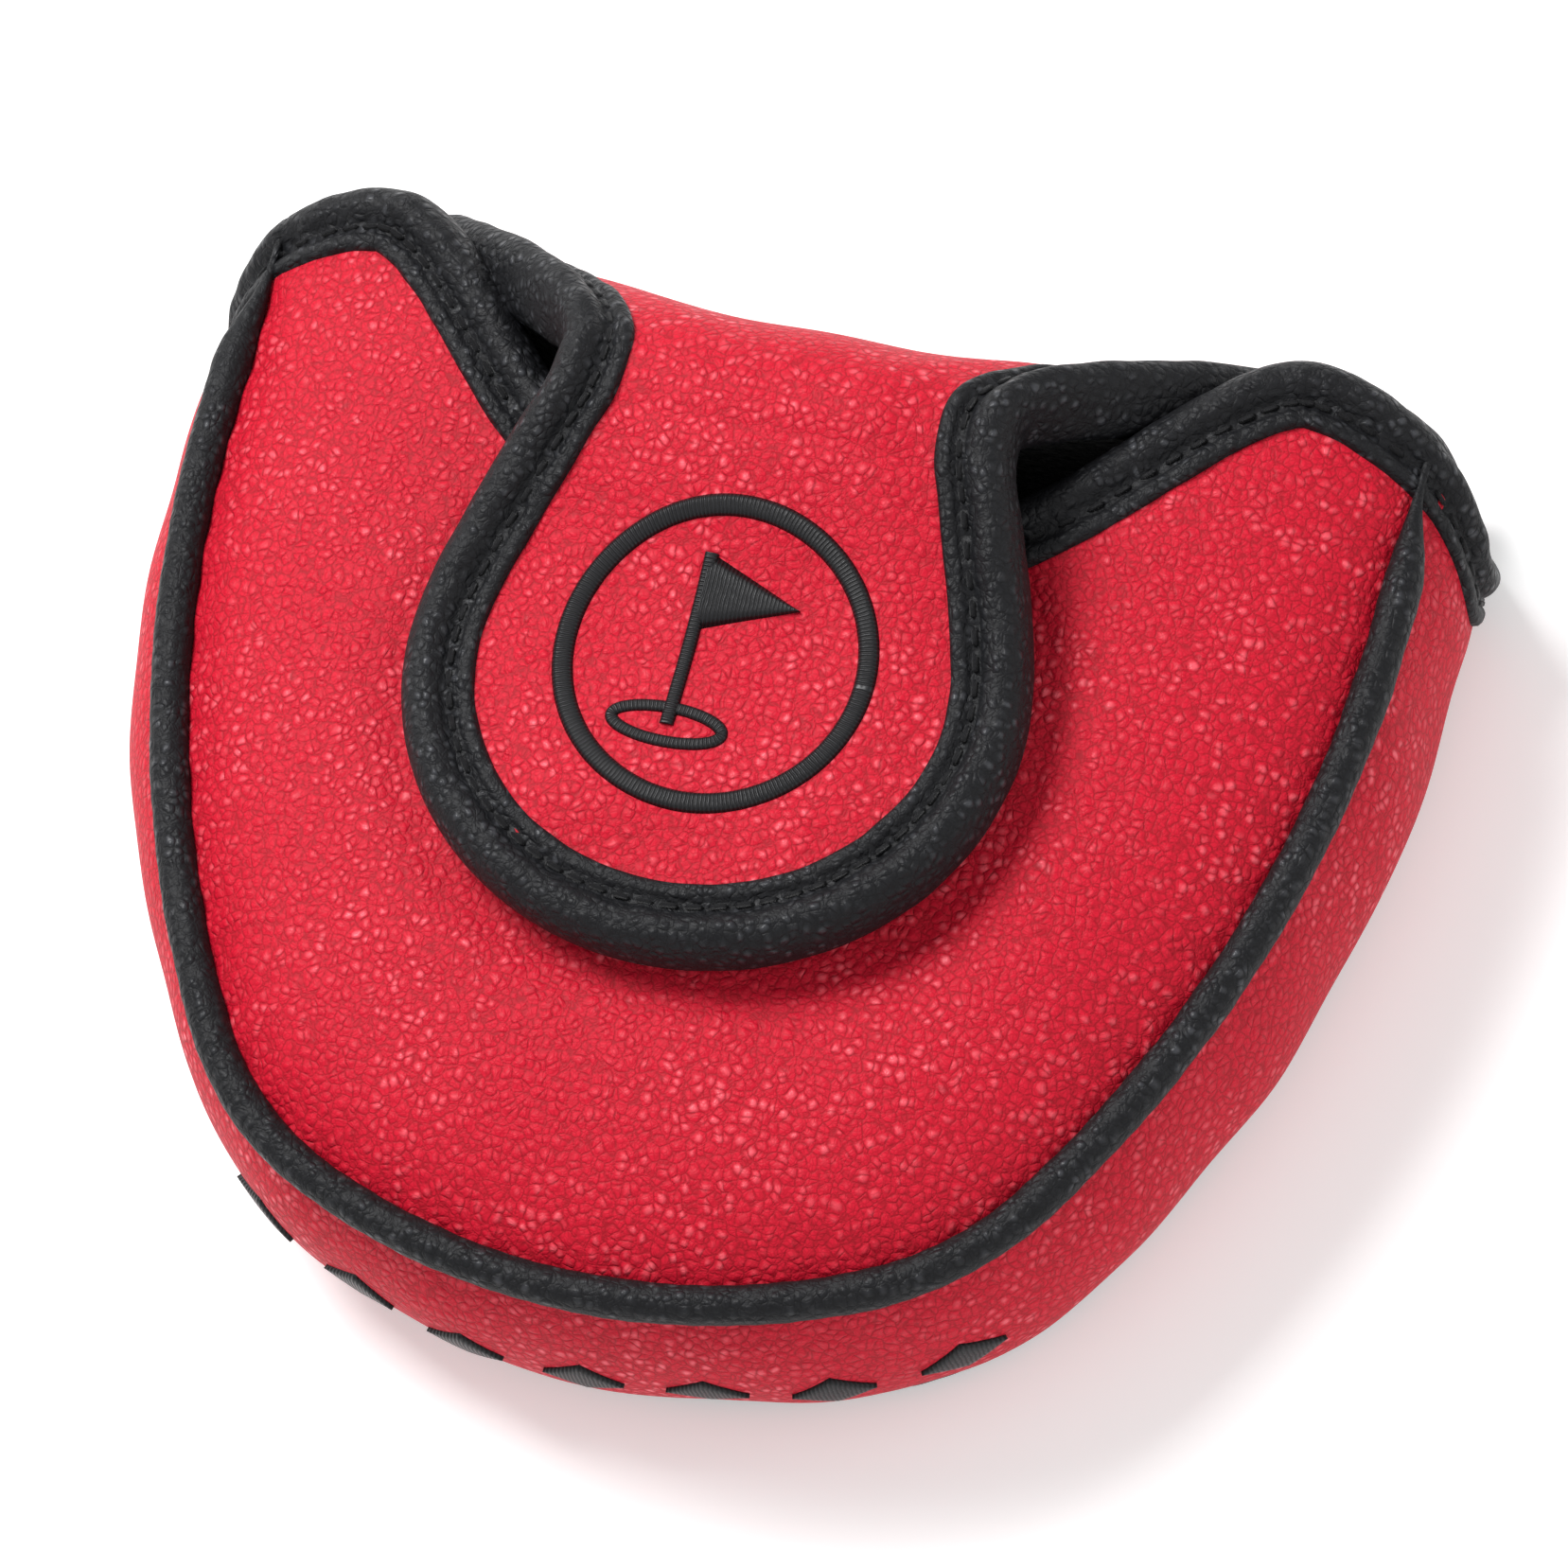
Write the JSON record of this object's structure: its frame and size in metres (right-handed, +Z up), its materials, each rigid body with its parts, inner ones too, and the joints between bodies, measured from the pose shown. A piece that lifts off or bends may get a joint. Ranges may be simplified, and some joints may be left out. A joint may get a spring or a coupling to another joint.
{
  "type": "golf putter head cover",
  "caption": "Padded D-shaped pouch with a rounded gusset, piped seams and a fold-over magnetic flap, for a mallet putter head.",
  "frame": {"origin": "middle of the footprint, on the surface that the cover lies on", "axes": "+X along the cover's width, +Y from the rounded nose to the mouth, +Z up out of the front panel"},
  "size_m": [0.1362, 0.1245, 0.0479],
  "materials": {
    "red_leather": "pebble-grained, satin, crimson",
    "black_leather": "pebble-grained, satin, black",
    "foam": "soft open-cell foam",
    "plush": "short black plush pile",
    "cord": "twisted filler cord",
    "thread": "satin-stitch embroidery",
    "magnet": "nickel plate"
  },
  "bodies": {
    "pouch": {"back_lining": "plush", "back_padding": "foam", "back_panel": "red_leather", "back_piping": "black_leather", "back_piping_cord": "cord", "front_lining": "plush", "front_magnet_left": "magnet", "front_magnet_right": "magnet", "front_mouth_binding": "black_leather", "front_padding": "foam", "front_panel": "red_leather", "front_piping": "black_leather", "front_piping_cord": "cord", "gusset_binding_left": "black_leather", "gusset_binding_right": "black_leather", "gusset_lining": "plush", "gusset_lozenge_1": "thread", "gusset_lozenge_2": "thread", "gusset_lozenge_3": "thread", "gusset_lozenge_4": "thread", "gusset_lozenge_5": "thread", "gusset_lozenge_6": "thread", "gusset_lozenge_7": "thread", "gusset_padding": "foam", "gusset_panel": "red_leather", "rear_binding_left": "black_leather", "rear_binding_right": "black_leather"},
    "flap": {"flap_binding": "black_leather", "flap_emblem": "thread", "flap_lining": "plush", "flap_magnet_left": "magnet", "flap_magnet_right": "magnet", "flap_padding": "foam", "flap_panel": "red_leather"}
  },
  "joints": [
    {"name": "flap_fold", "type": "hinge", "parent": "pouch", "child": "flap", "pos_m": [0, 0.0411, 0.0482], "axis": [-1, 0, 0], "range_deg": [0, 120]}
  ]
}
